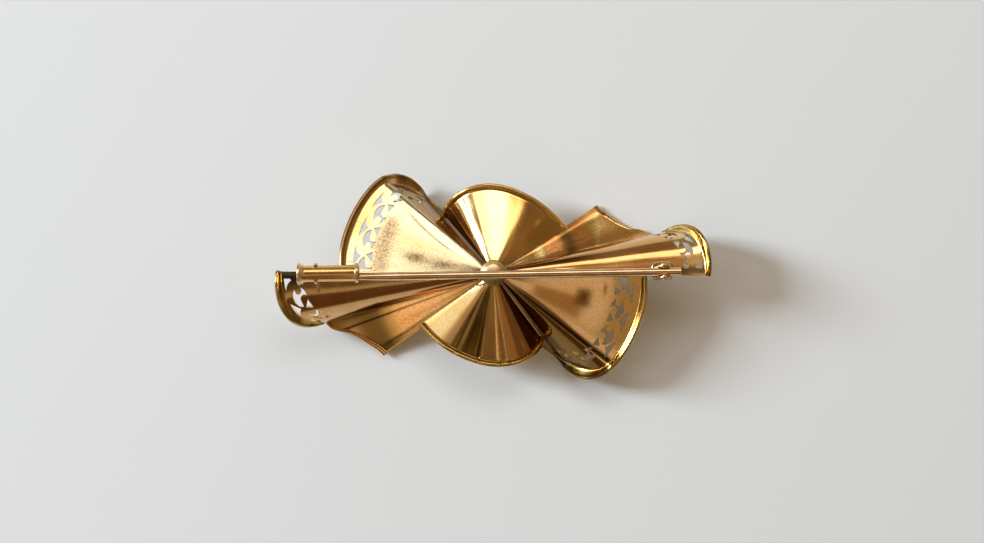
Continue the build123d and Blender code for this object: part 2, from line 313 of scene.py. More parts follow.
def ribbon_arrays(rows, reach, lip, creases=(), milgrain=False, lip_angle=lip_rise):
    """Points of one ribbon, and for each its turn, share of the generator, rise up the lip and place."""
    fine = smooth_rows(rows, reach, lip, milgrain_spacing if milgrain else row_spacing)
    points = []
    params = []
    for i in range(len(fine["rim"])):
        root = fine["root"][i]
        along = fine["along"][i]
        normal = fine["normal"][i]
        length = float(np.linalg.norm(fine["rim"][i] - root))
        lip_here = float(fine["lip"][i])
        raised = min(1.0, max(least_bead, lip_here / full_bead_lip))
        bead = (sheet / 2 + bead_proud) * raised
        if milgrain:
            phase = math.pi * fine["place"][i] / milgrain_pitch
            bead += milgrain_depth * abs(math.sin(phase)) - milgrain_sink
        outline = section(length, lip_here, bead, sheet * raised, lip_angle)
        lift = sum(height * math.exp(-((fine["turn"][i] - turn) / width) ** 2)
                   for turn, width, height in creases)
        for distance, off in outline:
            share = distance / length
            place = root + along * distance
            rise = off + lift * min(share, 1.0) + wave(place) * min(share * 2, 1.0)
            points.append(place + normal * rise)
            up = off / (lip_here * math.sin(lip_angle)) if share > 0.985 else min(off, 0.0)
            params.append((fine["turn"][i], share, up, fine["place"][i], distance))
    return np.array(points), params, len(fine["rim"])


def tube_faces(rows, around):
    faces = []
    for row in range(rows - 1):
        for k in range(around):
            after = (k + 1) % around
            faces.append((row * around + k, row * around + after,
                          (row + 1) * around + after, (row + 1) * around + k))
    faces.append(tuple(range(around)))
    faces.append(tuple((rows - 1) * around + k for k in reversed(range(around))))
    return faces


def new_object(name, points, faces, turn=0.0):
    mesh = bpy.data.meshes.new(name)
    mesh.from_pydata([tuple(p) for p in np.asarray(points) * MM], [], faces)
    mesh.transform(Matrix.Rotation(turn, 4, "Z"))
    fixed = bmesh.new()
    fixed.from_mesh(mesh)
    bmesh.ops.recalc_face_normals(fixed, faces=fixed.faces)
    fixed.to_mesh(mesh)
    fixed.free()
    thing = bpy.data.objects.new(name, mesh)
    bpy.context.scene.collection.objects.link(thing)
    return thing


def settle(thing):
    """Applies every modifier, so that only a plain mesh is left."""
    graph = bpy.context.evaluated_depsgraph_get()
    graph.update()
    mesh = bpy.data.meshes.new_from_object(thing.evaluated_get(graph))
    thing.modifiers.clear()
    thing.data = mesh
    return thing


def cut(thing, cutter):
    """Cuts one object out of another and removes the cutter."""
    change = thing.modifiers.new("cut", "BOOLEAN")
    change.operation = "DIFFERENCE"
    change.solver = "EXACT"
    change.use_self = True
    change.object = cutter
    settle(thing)
    bpy.data.objects.remove(cutter)
    return thing


def smooth(thing, angle=32.0):
    thing.data.shade_smooth()
    thing.data.set_sharp_from_angle(angle=math.radians(angle))
    return thing


def join(name, things):
    bm = bmesh.new()
    for thing in things:
        bm.from_mesh(thing.data)
    mesh = bpy.data.meshes.new(name)
    bm.to_mesh(mesh)
    bm.free()
    for thing in things:
        bpy.data.objects.remove(thing)
    whole = bpy.data.objects.new(name, mesh)
    bpy.context.scene.collection.objects.link(whole)
    return whole


# Pierced scroll
def arc_through(start, middle, end, count):
    """Points on the circle through three points, from the first almost to the last."""
    (ax, ay), (bx, by), (cx, cy) = start, middle, end
    a, b, c = (x * x + y * y for x, y in (start, middle, end))
    double_area = 2 * (ax * (by - cy) + bx * (cy - ay) + cx * (ay - by))
    ux = (a * (by - cy) + b * (cy - ay) + c * (ay - by)) / double_area
    uy = (a * (cx - bx) + b * (ax - cx) + c * (bx - ax)) / double_area
    angles = [math.atan2(y - uy, x - ux) for x, y in (start, middle, end)]
    radius = math.hypot(ax - ux, ay - uy)
    sweep = (angles[2] - angles[0]) % (2 * math.pi)
    if (angles[1] - angles[0]) % (2 * math.pi) > sweep:
        sweep -= 2 * math.pi
    return [(ux + radius * math.cos(angles[0] + sweep * k / count),
             uy + radius * math.sin(angles[0] + sweep * k / count)) for k in range(count)]


def ring_outline():
    points = []
    for step in range(36):
        angle = 2 * math.pi * step / 36
        x = ring_half_length * math.cos(angle)
        y = ring_half_width * math.sin(angle)
        points.append((x * math.cos(ring_tilt) - y * math.sin(ring_tilt),
                       x * math.sin(ring_tilt) + y * math.cos(ring_tilt)))
    return points


def bud_outline(tip_x, y, radius, away):
    """A tongue of sheet with a round tip, which runs out of the ring to one side."""
    points = []
    for step in range(13):
        angle = math.radians(-90 + 180 * step / 12)
        points.append((tip_x - away * radius * math.cos(angle), y + radius * math.sin(angle)))
    end = away * 1.25 * ring_half_length
    return points + [(end, y + radius), (end, y - radius)]


def leaf_outline():
    near_tip = (0.0, 1.62 * ring_half_width)
    crown = (0.40 * scroll_pitch, 1.78 * ring_half_width)
    far_tip = (0.82 * scroll_pitch, 1.50 * ring_half_width)
    far_side = (0.50 * scroll_pitch, 1.27 * ring_half_width)
    foot = (0.38 * scroll_pitch, 0.74 * ring_half_width)
    near_side = (0.20 * scroll_pitch, 1.18 * ring_half_width)
    return (arc_through(near_tip, crown, far_tip, 12) + arc_through(far_tip, far_side, foot, 8)
            + arc_through(foot, near_side, near_tip, 8))


def spandrel_outline():
    return [
        (-0.44 * scroll_pitch, -0.92 * ring_half_width),
        (-0.56 * scroll_pitch, 0.05 * ring_half_width),
        (-0.80 * scroll_pitch, -0.88 * ring_half_width),
    ]


def prisms(name, outlines):
    """One object of straight prisms; each outline comes with its shift and its place on the band."""
    points = []
    faces = []
    for outline, shift, (middle, along, rimward, normal) in outlines:
        start = len(points)
        count = len(outline)
        for depth in (-cutter_depth, cutter_depth):
            for x, y in outline:
                points.append(middle + along * (x - shift) + rimward * y + normal * depth)
        faces.append(tuple(start + k for k in range(count)))
        faces.append(tuple(start + count + k for k in reversed(range(count))))
        for k in range(count):
            after = (k + 1) % count
            faces.append((start + k, start + count + k, start + count + after, start + after))
    return new_object(name, points, faces)


def scroll_cutter(rows, reach, inset, first, last):
    """Everything that is cut out of one band, apart from a strip along the ridge."""
    fine = smooth_rows(rows, reach, 1.0, 0.1)
    path = fine["rim"] - fine["along"] * inset
    steps = np.linalg.norm(np.diff(path, axis=0), axis=1)
    lengths = np.concatenate([[0.0], np.cumsum(steps)])
    whole = lengths[-1]

    def place(distance):
        def at(columns):
            return np.array([np.interp(distance, lengths, columns[:, k]) for k in range(3)])
        tangent = unit(at(np.gradient(path, axis=0)))
        normal = at(fine["normal"])
        normal = unit(normal - tangent * normal.dot(tangent))
        rimward = np.cross(normal, tangent)
        if rimward.dot(at(fine["along"])) < 0:
            rimward = -rimward
        return at(path), tangent, rimward, normal

    rings = []
    buds = []
    others = []
    near_bud = bud_outline(-0.60 * ring_half_length, -0.05 * ring_half_width, near_bud_radius, -1)
    far_bud = bud_outline(0.25 * ring_half_length, -0.53 * ring_half_width, far_bud_radius, 1)
    spandrel_shift = -0.6 * scroll_pitch
    leaf_shift = 0.4 * scroll_pitch
    for number in range(-1, int((whole - first) / scroll_pitch) + 1):
        middle = first + number * scroll_pitch
        if 0 < middle < last * whole:
            rings.append((ring_outline(), 0.0, place(middle)))
            buds.append((near_bud, 0.0, place(middle)))
            buds.append((far_bud, 0.0, place(middle)))
        centre = middle + spandrel_shift
        if 0 < centre < last * whole:
            others.append((spandrel_outline(), spandrel_shift, place(centre)))
        centre = middle + leaf_shift
        if middle + scroll_pitch < whole and 0 < centre < last * whole:
            others.append((leaf_outline(), leaf_shift, place(centre)))
    cutter = cut(prisms("rings", rings), prisms("buds", buds))
    cutter = join("openings", [cutter, prisms("others", others)])
    side = ridge_margin
    far = 2 * reach
    corners = [(x, y, z) for x in (-far, far) for y in (-side, side) for z in (-far, far)]
    box_faces = [(0, 1, 3, 2), (4, 6, 7, 5), (0, 4, 5, 1), (2, 3, 7, 6), (0, 2, 6, 4), (1, 5, 7, 3)]
    return cut(cutter, new_object("ridge", corners, box_faces))


def ribbon(name, rows, reach, lip, tint, turn=0.0, scroll=None, creases=(), milgrain=False,
           lip_angle=lip_rise):
    points, params, count = ribbon_arrays(rows, reach, lip, creases, milgrain, lip_angle)
    thing = new_object(name, points, tube_faces(count, len(points) // count))
    paint(thing.data, points, params, tint)
    if scroll:
        cut(thing, scroll_cutter(*scroll))
    thing.data.transform(Matrix.Rotation(bow_turn + turn, 4, "Z"))
    return smooth(thing)


def paint(mesh, points, params, tint):
    """Stores the ribbon's painted reflections and shade, with how worn it is, and its direction of polish
    at each corner of the mesh.
    """
    colours = mesh.color_attributes.new("tint", "FLOAT_COLOR", "CORNER")
    polish = mesh.uv_layers.new(name="polish")
    shades = []
    for point, (turn, share, up, place, distance) in zip(points, params):
        out = math.hypot(point[0], point[1])
        shade = front if up < -0.05 else tint(turn, share, out, up)
        # Painted shade darkens each sheet next to the knot
        shades.append(blended(shade, [(0.7 * near(out, 1.3, 0.9), painted_knot_shade)]))
    for corner in mesh.loops:
        index = corner.vertex_index
        colours.data[corner.index].color = shades[index]
        polish.data[corner.index].uv = (params[index][3], params[index][4])


def near(value, middle, width):
    """1 in the middle and falling away to both sides."""
    return math.exp(-((value - middle) / width) ** 2)


def between(value, low, high, soft):
    """1 between two limits and 0 beyond them, with soft edges."""
    return 1 / (1 + math.exp(-(value - low) / soft)) / (1 + math.exp((value - high) / soft))


def blended(start, layers):
    """Lays colours over a first one, each by its own amount from 0 to 1."""
    result = list(start)
    for amount, colour in layers:
        amount = min(max(amount, 0.0), 1.0)
        result = [old + (new - old) * amount for old, new in zip(result, colour)]
    return tuple(result)


def lip_colour(up, root, flank, crest):
    """Painted reflections up a raised lip, from the line at its root to the rubbed crest, which mostly
    carries a painted highlight.
    """
    return blended(root, [(between(up, 0.16, 2.0, 0.02), flank), (between(up, 0.92, 2.0, 0.03), crest)])


# Colours that come back: red, green, blue and how worn it is; cream is a painted highlight, olive, brown
# and amber are painted reflections, front is the plain gold of the underside
cream = (0.92, 0.86, 0.70, 0.8)
olive = (0.50, 0.42, 0.22, 0.2)
brown = (0.72, 0.48, 0.28, 0.2)
amber = (0.90, 0.75, 0.42, 0.2)
front = (0.95, 0.80, 0.62, 0.15)
# Painted shade for the sheets next to the knot
painted_knot_shade = (0.42, 0.34, 0.20, 0.4)


# The painted reflections and shade of each sheet, with how worn it is, by turn in degrees, share of the
# generator, distance out and rise up the lip
def left_wide_tint(turn, share, out, up):
    """Painted reflections: cream and grainy, with a painted grey line beside the fold and two dull patches.
    """
    if up > 0.02:
        # Painted reflections up the lip, with a painted yellow highlight along its inner part
        crest = cream if turn > 131 else brown
        shade = lip_colour(up, (0.9, 0.7, 0.4, 0.2), (0.50, 0.32, 0.16, 0.1), crest)
        inner = between(up, 0.08, 0.52, 0.03) * between(turn, 135, 178, 1.0)
        return blended(shade, [(inner, (1.0, 0.76, 0.40, 0.2))])
    # Painted reflections on the sheet: the window's white, a brighter band, a painted grey line beside the
    # fold, an orange rim strip, dark walls and an orange valley
    line = 143.9 + (0.67 - share) * 18
    return blended((1.0, 0.96, 0.88, 0.18), [
        (near(turn, 158, 7) * near(share, 0.55, 0.22), (0.97, 0.86, 0.66, 0.2)),
        (between(turn, 138.4, line - 0.8, 0.3), (1.0, 1.0, 0.98, 0.04)),
        (between(share, 0.70, 0.80, 0.015) * between(turn, 150, 179, 1.5), (0.88, 0.78, 0.68, 0.9)),
        (near(turn, 168, 3.2) * near(share, 0.50, 0.07), (0.56, 0.48, 0.40, 1.2)),
        (near(turn, 170.5, 5) * near(share, 0.28, 0.11), (0.66, 0.58, 0.48, 1.3)),
        (near(turn, line, 0.9) * between(share, 0.26, 0.68, 0.02), (0.56, 0.52, 0.44, 0.6)),
        (between(share, 0.90, 1.1, 0.01) * between(turn, 142, 165, 1.5), (1.0, 0.78, 0.46, 0.1)),
        (between(turn, 100, 138.2, 0.3), (0.62, 0.44, 0.26, 0.2)),
        (between(turn, 125.5, 132, 0.4), (0.42, 0.30, 0.18, 0.2)),
        (between(turn, 100, 125, 0.4), (0.95, 0.64, 0.38, 0.2)),
    ])


def right_wide_tint(turn, share, out, up):
    """Painted reflections and shade: tan, with a brown trapezoid and its dark end, a dark wedge along the
    fold, and painted shade that dims the crest of the fold.
    """
    if up > 0.02:
        # Painted reflections up the lip, with painted shade on the lip of the wall
        flank = blended(olive, [(between(turn, 150, 165, 2.0), amber),
                                (between(turn, 100, 141, 1.0), (0.08, 0.06, 0.03, 0.5))])
        return lip_colour(up, (0.9, 0.75, 0.42, 0.3), flank, cream)
    wedge = between(turn, 140.6, 152.3 - share * 11, 0.35) * between(share, 0.12, 0.90, 0.03)
    dark_end = between(turn, 158 + share * 3, 170, 0.9) * between(share, 0.55, 0.65, 0.012)
    return blended((1.0, 0.90, 0.86, 0.2), [
        (between(turn, 151, 165, 1.0) * between(share, 0.24, 0.62, 0.015), (0.50, 0.34, 0.20, 0.2)),
        (dark_end, (0.24, 0.15, 0.05, 0.6)),
        (near(turn, 172, 3.0) * near(share, 0.745, 0.015), (0.60, 0.34, 0.20, 0.5)),
        (between(share, 0.80, 1.1, 0.02) * between(turn, 150, 181, 1.5), (0.60, 0.48, 0.30, 0.3)),
        (between(turn, 100, 141, 0.5), (0.27, 0.19, 0.08, 0.1)),
        (wedge, (0.17, 0.125, 0.06, 0.1)),
        # Painted shade dims the highlight on the crest of the fold
        (between(turn, 142.4, 144.0, 0.2), (0.09, 0.065, 0.03, 0.0)),
        (between(turn, 100, 131, 0.8), (0.40, 0.30, 0.18, 0.1)),
    ])


def right_long_tint(turn, share, out, up):
    """Painted reflections: orange gold in long bands, with a pale end."""
    if up > 0.02:
        return lip_colour(up, cream, (0.38, 0.30, 0.15, 0.2), cream)
    return blended((0.86, 0.64, 0.46, 0.15), [
        (between(turn, 5.0, 10.0, 0.3), (0.72, 0.50, 0.34, 0.15)),
        (near(turn, 6.7, 0.75), (1.0, 0.52, 0.37, 0.1)),
        (between(share, 0.91, 1.1, 0.01), (1.0, 0.94, 0.76, 0.3)),
        (near(turn, 2.2, 1.4) * between(share, 0.35, 0.88, 0.02), (1.0, 0.76, 0.56, 0.2)),
        (near(turn, 4.6, 0.5) * between(share, 0.3, 0.88, 0.02), (0.62, 0.42, 0.26, 0.2)),
        (between(turn, 8.0, 11.5, 0.3) * between(out, 0, 13.5, 1.0), (0.14, 0.09, 0.045, 0.1)),
    ])


def left_long_tint(turn, share, out, up):
    """Painted reflections in brown bands, with painted shade at the end beside the tube."""
    if up > 0.02:
        return lip_colour(up, (0.5, 0.4, 0.2, 0.2), olive, cream)
    return blended((0.62, 0.52, 0.42, 0.2), [
        (between(turn, 7.5, 10.5, 0.5), (0.70, 0.36, 0.22, 0.2)),
        (between(turn, 11.0, 13.2, 0.3), (0.74, 0.52, 0.36, 0.2)),
        (between(turn, 13.4, 20.0, 0.2), (0.88, 0.64, 0.50, 0.2)),
        # Painted shade under the tube: the dark end and a dark strip along the ridge
        (between(share, 0.9, 1.1, 0.02) * between(turn, -1, 3, 0.5), (0.16, 0.17, 0.22, 0.1)),
        (between(turn, -2.0, -0.1, 0.1), (0.10, 0.09, 0.07, 0.1)),
    ])


def top_fan_tint(turn, share, out, up):
    """Painted reflections: bright in the middle, brown to both sides."""
    if up > 0.02:
        shade = lip_colour(up, (0.5, 0.35, 0.15, 0.1), (0.95, 0.8, 0.5, 0.2), cream)
        # Painted shade in the crease below the beaded rim
        bead_crease_shade = between(up, 0.40, 0.62, 0.03) * between(turn, 30, 80, 3)
        return blended(shade, [(bead_crease_shade, (0.35, 0.25, 0.12, 0.1))])
    # Painted reflections: the window's broad white with an orange edge, a dim streak, dark bands, a dark
    # olive patch and one small painted highlight
    edge = 66 - (9.5 - out) * 1.6
    return blended((0.62, 0.46, 0.30, 0.1), [
        (between(turn, edge, 107, 0.8), (1.0, 0.97, 0.86, 0.1)),
        (near(turn, edge + 5, 5), (0.96, 0.82, 0.50, 0.1)),
        (near(turn, edge - 1.5, 2.0), (0.90, 0.50, 0.24, 0.1)),
        (between(turn, 104.5, 109.5, 0.6), (0.80, 0.68, 0.52, 0.2)),
        (between(turn, 110.5, 117, 0.5), (0.90, 0.85, 0.74, 0.1)),
        (between(turn, 117.5, 121, 0.5), (0.80, 0.46, 0.22, 0.1)),
        (between(turn, 121.5, 130, 0.6), (0.36, 0.25, 0.14, 0.1)),
        (between(turn, 30, 48, 2.0) * between(out, 6.0, 12.0, 0.4), (0.45, 0.36, 0.18, 0.2)),
        (near(turn, 50, 1.5) * near(share, 0.82, 0.05), (1.0, 0.9, 0.6, 0.4)),
    ])


def bottom_fan_tint(turn, share, out, up):
    """Painted reflections: cream, then olive and brown bands, with painted highlights on two raised creases
    and painted shade in a sunken one.
    """
    if up > 0.02:
        return lip_colour(up, (0.3, 0.2, 0.1, 0.1), (0.62, 0.50, 0.24, 0.2), (0.9, 0.75, 0.45, 0.3))
    return blended((0.62, 0.48, 0.30, 0.1), [
        (between(turn, 30, 37, 0.8), (0.95, 0.92, 0.80, 0.4)),
        (between(turn, 37, 51, 1.0), (0.60, 0.56, 0.48, 0.2)),
        (between(turn, 51, 60, 1.2), (0.22, 0.15, 0.10, 0.1)),
        (between(turn, 60, 79, 1.2), (0.11, 0.085, 0.04, 0.1)),
        (near(turn, 72, 3), (0.18, 0.14, 0.06, 0.1)),
        (near(turn, 79.5, 1.1), (0.09, 0.06, 0.03, 0.1)),
        (between(turn, 81, 92, 0.6), (0.34, 0.26, 0.15, 0.1)),
        (near(turn, 93.5, 1.2), (1.0, 0.92, 0.74, 0.5)),
        (between(turn, 95, 98, 0.5), (0.30, 0.20, 0.12, 0.1)),
        (near(turn, 99.2, 0.9), (1.0, 0.84, 0.66, 0.5)),
        (between(turn, 100.5, 130, 0.6), (0.42, 0.26, 0.14, 0.1)),
        (near(turn, 113, 0.8) * near(share, 0.88, 0.07), (1.0, 0.36, 0.14, 0.1)),
    ])


def right_tail_tint(turn, share, out, up):
    """Painted reflections in patches one after the other from the centre outwards, with a painted bright
    streak, and a painted pale highlight on the lip with one dark spot.
    """
    if up > 0.02:
        shade = lip_colour(up, (0.8, 0.6, 0.3, 0.4), (1.0, 0.92, 0.76, 0.7), (1.0, 0.96, 0.84, 0.9))
        return blended(shade, [(near(turn, 30.3, 0.9), (0.40, 0.24, 0.12, 0.6))])
    return blended((0.62, 0.46, 0.30, 0.2), [
        (near(out, 7.3, 0.7), (1.0, 0.95, 0.80, 0.4)),
        (between(out, 8.2, 10.8, 0.2), (0.95, 0.58, 0.38, 0.3)),
        (between(out, 10.9, 12.4, 0.2), (0.26, 0.20, 0.12, 0.2)),
        (between(out, 12.5, 15.6, 0.3), (0.74, 0.46, 0.27, 0.2)),
        (between(out, 15.6, 23.0, 0.3), (1.0, 0.78, 0.52, 0.3)),
        (near(out, 16.6 + (turn - 28) * 0.12, 0.35), (1.0, 0.98, 0.80, 0.3)),
    ])


def left_tail_tint(turn, share, out, up):
    """Painted reflections: peach towards the centre and dark olive towards the end, with a thin painted
    highlight along one edge.
    """
    if up > 0.02:
        return lip_colour(up, brown, brown, (0.9, 0.62, 0.34, 0.3))
    return blended((0.62, 0.52, 0.36, 0.2), [
        (between(out, 6.5, 15.0, 0.6), (1.0, 0.86, 0.76, 0.3)),
        (near(out, 13.0, 1.4) * near(turn, 26, 4), (1.0, 0.80, 0.70, 0.4)),
        (between(out, 15.0, 16.6, 0.3), (0.56, 0.46, 0.26, 0.1)),
        (between(out, 16.2, 30, 0.35), (0.15, 0.125, 0.065, 0.1)),
        (near(out, 21.2, 1.2) * near(turn, 22, 4), (0.50, 0.42, 0.36, 0.4)),
        (near(turn, 34.6, 0.5), (1.0, 0.9, 0.7, 0.4)),
    ])


# Round pieces
def lathe(name, profile, origin, direction, segments=64):
    """Turns a profile of (distance, radius) about an axis through the origin."""
    axis = Vector(direction)
    side = axis.orthogonal().normalized()
    other = axis.cross(side)
    points = []
    for distance, radius in profile:
        for k in range(segments):
            angle = 2 * math.pi * k / segments
            around = side * math.cos(angle) + other * math.sin(angle)
            points.append(Vector(origin) + axis * distance + around * radius)
    faces = tube_faces(len(profile), segments)
    return smooth(new_object(name, points, faces), 50)


def rounded(corners, radius, count=4):
    """A profile with its inner corners rounded."""
    points = [corners[0]]
    for before, corner, after in zip(corners, corners[1:], corners[2:]):
        before, corner, after = (Vector(p) for p in (before, corner, after))
        size = min(radius, (before - corner).length * 0.45, (after - corner).length * 0.45)
        start = corner + (before - corner).normalized() * size
        end = corner + (after - corner).normalized() * size
        for k in range(count + 1):
            t = k / count
            point = start * (1 - t) ** 2 + corner * 2 * t * (1 - t) + end * t ** 2
            points.append((point.x, point.y))
    points.append(corners[-1])
    return points


def plate(name, outline, thickness, origin, x_dir, y_dir, bevel=0.05):
    """A flat plate with eased edges, from an outline in its own plane."""
    x_dir = Vector(x_dir)
    y_dir = Vector(y_dir)
    z_dir = x_dir.cross(y_dir)
    count = len(outline)
    points = []
    for depth in (-thickness / 2, thickness / 2):
        points += [Vector(origin) + x_dir * x + y_dir * y + z_dir * depth for x, y in outline]
    faces = [tuple(range(count)), tuple(count + k for k in reversed(range(count)))]
    for k in range(count):
        after = (k + 1) % count
        faces.append((k, count + k, count + after, after))
    thing = new_object(name, points, faces)
    ease = thing.modifiers.new("ease", "BEVEL")
    ease.width = bevel * MM
    ease.segments = 3
    ease.limit_method = "ANGLE"
    ease.angle_limit = math.radians(40)
    settle(thing)
    return smooth(thing, 50)


# Materials; the noise scales are turns per metre, the polishing lines' per millimetre across and along
cloud_scale = 260
speck_scale = 3600
speck_colour = (0.46, 0.38, 0.27)
polish_scale = (9.0, 0.35, 1.0)
bump_depth = 0.00003


def gold(name, colour, dark, rough, grain, tinted=False):
    """Worn polished gold: uneven colour, fine polishing lines, specks, and the tint stored on the piece,
    which on the ribbons and the knot is painted reflections and shade.
    """
    material = bpy.data.materials.new(name)
    material.use_nodes = True
    nodes = material.node_tree.nodes
    links = material.node_tree.links
    shader = nodes["Principled BSDF"]
    shader.inputs["Metallic"].default_value = 1.0

    def noise_of(vector, scale, detail):
        texture = nodes.new("ShaderNodeTexNoise")
        texture.inputs["Scale"].default_value = scale
        texture.inputs["Detail"].default_value = detail
        links.new(vector, texture.inputs["Vector"])
        return texture.outputs["Fac"]

    def spread(value, low, high, to_low, to_high):
        change = nodes.new("ShaderNodeMapRange")
        limits = {"From Min": low, "From Max": high, "To Min": to_low, "To Max": to_high}
        for socket, number in limits.items():
            change.inputs[socket].default_value = number
        links.new(value, change.inputs["Value"])
        return change.outputs["Result"]

    def joined(operation, first, second):
        node = nodes.new("ShaderNodeMath")
        node.operation = operation
        links.new(first, node.inputs[0])
        if isinstance(second, float):
            node.inputs[1].default_value = second
        else:
            links.new(second, node.inputs[1])
        return node.outputs[0]

    def mixed(kind, factor, first, second):
        node = nodes.new("ShaderNodeMix")
        node.data_type = "RGBA"
        node.blend_type = kind
        if isinstance(factor, float):
            node.inputs["Factor"].default_value = factor
        else:
            links.new(factor, node.inputs["Factor"])
        links.new(first, node.inputs["A"])
        if isinstance(second, tuple):
            node.inputs["B"].default_value = (*second, 1)
        else:
            links.new(second, node.inputs["B"])
        return node.outputs["Result"]

    place = nodes.new("ShaderNodeTexCoord").outputs["Object"]
    cloud = noise_of(place, cloud_scale, 5)
    speck = noise_of(place, speck_scale, 3)
    blend = nodes.new("ShaderNodeValToRGB")
    blend.color_ramp.elements[0].position = 0.30
    blend.color_ramp.elements[0].color = (*dark, 1)
    blend.color_ramp.elements[1].position = 0.62
    blend.color_ramp.elements[1].color = (*colour, 1)
    links.new(cloud, blend.inputs["Fac"])
    base = blend.outputs["Color"]
    rough_value = spread(cloud, 0.3, 0.75, rough[0], rough[1])
    height = speck
    if tinted:
        # The stored tint: painted reflections and shade in its colour on the ribbons and the knot, how worn
        # it is in its alpha
        painted_light_and_wear = nodes.new("ShaderNodeAttribute")
        painted_light_and_wear.attribute_name = "tint"
        base = mixed("MULTIPLY", 1.0, base, painted_light_and_wear.outputs["Color"])
        worn = joined("MINIMUM", painted_light_and_wear.outputs["Alpha"], 1.3)
        specks = joined("MULTIPLY", spread(speck, 0.47, 0.59, 0.0, 0.9), worn)
        base = mixed("MULTIPLY", specks, base, speck_colour)
        rough_value = joined("ADD", rough_value, joined("MULTIPLY", painted_light_and_wear.outputs["Alpha"], 0.20))
        along = nodes.new("ShaderNodeMapping")
        along.inputs["Scale"].default_value = polish_scale
        links.new(nodes.new("ShaderNodeUVMap").outputs["UV"], along.inputs["Vector"])
        lines = noise_of(along.outputs["Vector"], 1.0, 3)
        rough_value = joined("ADD", rough_value, spread(lines, 0.35, 0.7, -0.03, 0.05))
        height = joined("ADD", joined("MULTIPLY", speck, worn), joined("MULTIPLY", lines, 0.6))
    links.new(base, shader.inputs["Base Color"])
    links.new(rough_value, shader.inputs["Roughness"])
    bump = nodes.new("ShaderNodeBump")
    bump.inputs["Strength"].default_value = grain
    bump.inputs["Distance"].default_value = bump_depth
    links.new(height, bump.inputs["Height"])
    links.new(bump.outputs["Normal"], shader.inputs["Normal"])
    return material


def add(thing, body, materials, slot, *nodes):
    """Gives a piece its materials, its body and the nodes that it stands for; the slot is not used."""
    for material in materials:
        thing.data.materials.append(material)
    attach(thing, body)
    if nodes:
        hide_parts(*nodes)
    return thing


ribbon_gold = gold("ribbon_gold_look", (0.99, 0.81, 0.47), (0.92, 0.68, 0.33), (0.06, 0.15), 0.10, True)
satin_gold = gold("satin_gold_look", (0.82, 0.72, 0.51), (0.72, 0.60, 0.40), (0.11, 0.20), 0.45, True)
fitting_gold = gold("fitting_gold_look", (0.98, 0.72, 0.46), (0.84, 0.52, 0.28), (0.14, 0.26), 0.10)
tube_gold = gold("tube_gold_look", (1.0, 0.86, 0.58), (0.94, 0.74, 0.44), (0.14, 0.24), 0.10, True)
knot_gold = gold("knot_gold_look", (1.0, 0.94, 0.74), (0.96, 0.82, 0.54), (0.26, 0.38), 0.15, True)
# A darker copy of the fitting gold: painted shade for the hinge plate under the pin, and the same for the
# saddle
shaded_plate_gold = gold("plate_gold_look", (0.74, 0.50, 0.28), (0.50, 0.32, 0.16), (0.16, 0.28), 0.15)

wide_band = (wide_reach, wide_band_inset, wide_band_start, wide_band_end)
long_scroll = (LONG_ROWS, long_reach, long_band_inset, long_band_start, long_band_end)
half_turn = math.pi

# A loop is one folded ribbon: its wide half, then its long half, which runs to the other side
for name, turn, wide_rows, wide_tint, long_tint in (
        ("left", 0.0, LEFT_WIDE_ROWS, left_wide_tint, left_long_tint),
        ("right", half_turn, WIDE_ROWS, right_wide_tint, right_long_tint)):
    band_rows = wide_rows + WALL_ROWS
    wide_scroll = (band_rows, *wide_band)
    wide = ribbon("wide", band_rows + VALLEY_ROWS, wide_reach, wide_lip, wide_tint, turn, wide_scroll)
    long = ribbon("long", LONG_ROWS, long_reach, long_lip, long_tint, turn + half_turn, long_scroll)
    wide_faces = len(wide.data.polygons)
    loop = join(name + "_ribbon_loop", [wide, long])
    wide_gold = satin_gold if name == "left" else ribbon_gold
    add(loop, "bow", [wide_gold, ribbon_gold], "ribbon_gold", name + "_loop")
    for face in loop.data.polygons[wide_faces:]:
        face.material_index = 1

top_creases = [(112.0, 0.7, 0.05), (122.5, 0.8, 0.06), (125.5, 0.8, 0.06)]
bottom_creases = [(79.5, 1.2, -0.10), (93.5, 1.1, 0.10), (99.2, 1.0, 0.08), (63.0, 3.0, -0.08)]
for name, turn, creases, tint in (("top", 0.0, top_creases, top_fan_tint),
                                  ("bottom", half_turn, bottom_creases, bottom_fan_tint)):
    fan = ribbon(name + "_ribbon_fan", FAN_ROWS, fan_reach, fan_lip, tint, turn, None, creases, True)
    add(fan, "bow", [ribbon_gold], "ribbon_gold", name + "_fan")

tail = ribbon("right_ribbon_tail", TAIL_ROWS, right_tail_reach, right_tail_lip, right_tail_tint,
              lip_angle=right_tail_lip_rise)
add(tail, "bow", [ribbon_gold], "ribbon_gold", "right_tail")
tail = ribbon("left_ribbon_tail", TAIL_ROWS, left_tail_reach, left_tail_lip, left_tail_tint, half_turn)
add(tail, "bow", [ribbon_gold], "ribbon_gold", "left_tail")

# Pin
tail_x = pivot_x + pin_tail
tip_x = mouth_x - pin_tip_length
stem_profile = rounded([
    (tail_x, on_axis), (tail_x, pin_radius), (mouth_x + pin_shoulder, pin_radius),
    (mouth_x, pin_mouth_radius), (tip_x + pin_tip_ease, pin_tip_radius), (tip_x, on_axis)], 0.08)
stem = lathe("pin_wire", stem_profile, (0, pin_side, pin_height), (1, 0, 0), 48)
add(stem, "pin", [fitting_gold], "fitting_gold", "pin_stem")


def paint_points(thing, shade_at):
    """Stores a round piece's tint at each point of the mesh; on the knot this is painted light and shade.
    """
    tints = thing.data.color_attributes.new("tint", "FLOAT_COLOR", "POINT")
    for point, tint in zip(thing.data.vertices, tints.data):
        tint.color = shade_at(point.co.x / MM, point.co.y / MM, point.co.z / MM)


